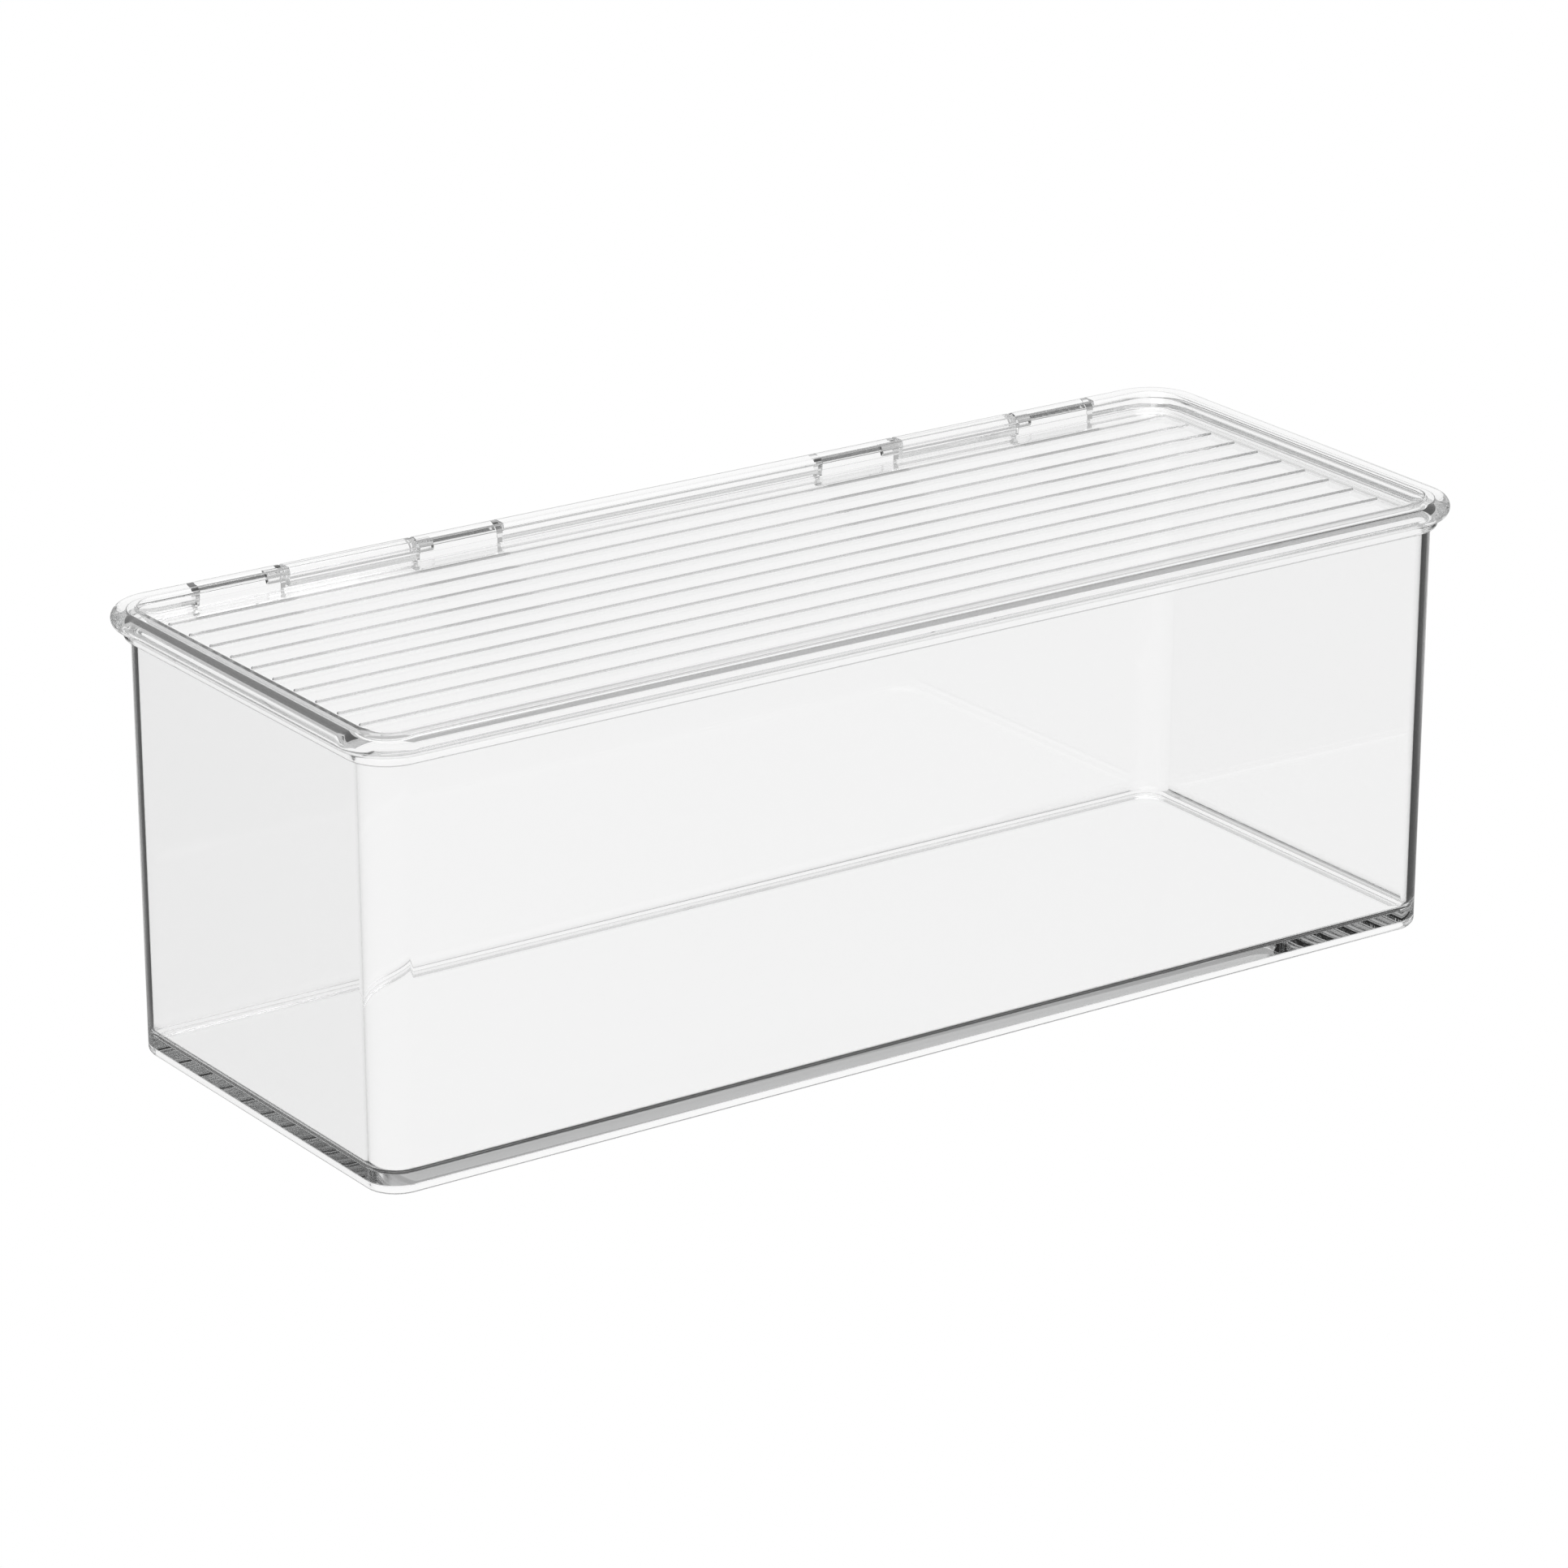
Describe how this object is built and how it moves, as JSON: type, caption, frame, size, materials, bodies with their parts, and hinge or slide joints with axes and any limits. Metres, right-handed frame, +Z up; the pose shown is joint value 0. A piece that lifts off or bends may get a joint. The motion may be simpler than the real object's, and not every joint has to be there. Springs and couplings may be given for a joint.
{
  "type": "fridge bin",
  "caption": "Clear rectangular fridge storage bin with a hinged, recessed and ribbed lid.",
  "frame": {"origin": "middle of the base, on the surface the bin stands on", "axes": "+X along the bin's length, +Y from the front to the hinge side, +Z up"},
  "size_m": [0.356, 0.14, 0.126],
  "materials": {
    "tub_plastic": "crystal-clear moulded acrylic, polished",
    "lid_plastic": "crystal-clear moulded acrylic, polished",
    "pin_plastic": "clear moulded acrylic rod, smooth"
  },
  "bodies": {
    "tub": {"tub": "tub_plastic", "hinge_pin_left": "pin_plastic", "hinge_pin_right": "pin_plastic"},
    "lid": {"lid": "lid_plastic"}
  },
  "joints": [
    {"name": "lid_hinge", "type": "hinge", "parent": "tub", "child": "lid", "pos_m": [0, 0.067, 0.123], "axis": [-1, 0, 0], "range_deg": [0, 180]}
  ]
}
